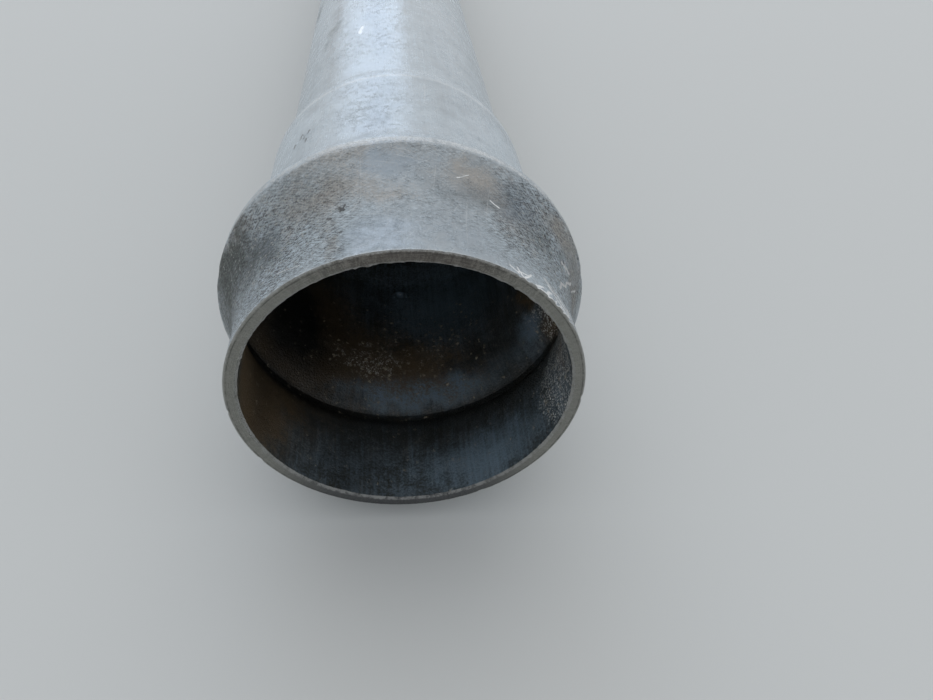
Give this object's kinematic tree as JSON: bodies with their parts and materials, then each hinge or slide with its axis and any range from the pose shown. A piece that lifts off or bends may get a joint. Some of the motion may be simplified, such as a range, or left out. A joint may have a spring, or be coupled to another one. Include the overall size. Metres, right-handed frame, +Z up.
{
  "type": "pvc pressure pipe",
  "caption": "Straight grey plastic pressure pipe with a socket formed at one end, its ring groove standing out as a sharp crest behind a flared mouth.",
  "frame": {"origin": "at floor height, under the middle of the pipe's length, with the pipe's axis 69.9 mm above it", "axes": "+Y along the pipe's axis from the socket's mouth to the plain spigot end, +Z up"},
  "size_m": [0.1394, 3, 0.1398],
  "materials": {
    "pipe": "weathered grey plastic, chalked and scuffed outside, near black inside"
  },
  "bodies": {
    "root": {"pipe": "pipe"}
  },
  "joints": []
}
